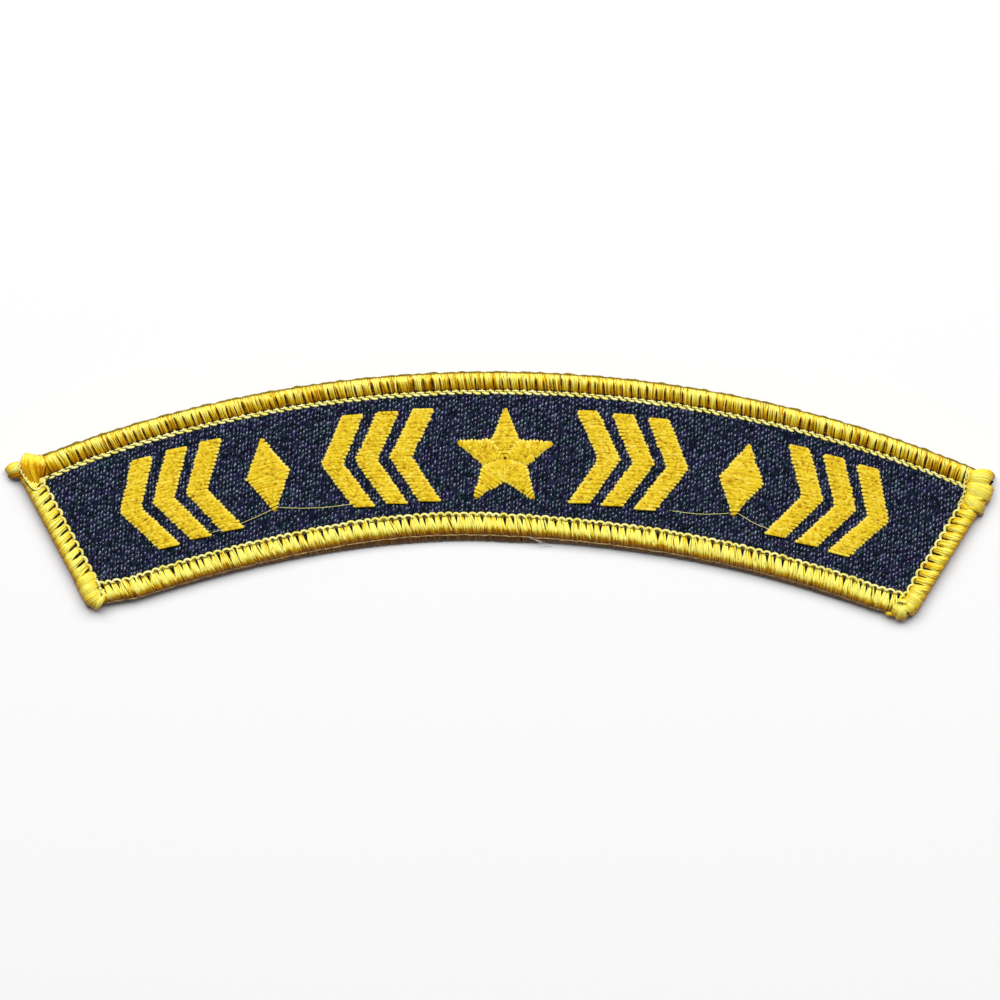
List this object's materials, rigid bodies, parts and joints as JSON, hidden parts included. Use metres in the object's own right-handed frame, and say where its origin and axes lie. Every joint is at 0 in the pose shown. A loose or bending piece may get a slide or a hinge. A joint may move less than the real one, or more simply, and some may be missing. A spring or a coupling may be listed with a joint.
{
  "type": "rocker patch",
  "caption": "Arc-shaped embroidered patch: navy twill band, thick merrowed yellow edge, raised satin-stitched star, chevrons and lozenges.",
  "frame": {"origin": "middle of the underside, on the surface that the patch lies on", "axes": "+X along the patch's length, +Y towards its long upper arc, +Z out of its face"},
  "size_m": [0.1274, 0.0318, 0.0026],
  "materials": {
    "navy_twill": "woven polyester twill, very dark navy with a faint sheen",
    "border_thread": "merrowed rayon thread, bright yellow, silky",
    "satin_thread": "satin-stitched rayon thread, golden yellow, silky"
  },
  "bodies": {
    "root": {"ground_cloth": "navy_twill", "border_top": "border_thread", "border_bottom": "border_thread", "border_left": "border_thread", "border_right": "border_thread", "star": "satin_thread", "lozenge_left": "satin_thread", "lozenge_right": "satin_thread", "chevron_left_1": "satin_thread", "chevron_left_2": "satin_thread", "chevron_left_3": "satin_thread", "chevron_left_4": "satin_thread", "chevron_left_5": "satin_thread", "chevron_left_6": "satin_thread", "chevron_right_1": "satin_thread", "chevron_right_2": "satin_thread", "chevron_right_3": "satin_thread", "chevron_right_4": "satin_thread", "chevron_right_5": "satin_thread", "chevron_right_6": "satin_thread"}
  },
  "joints": []
}
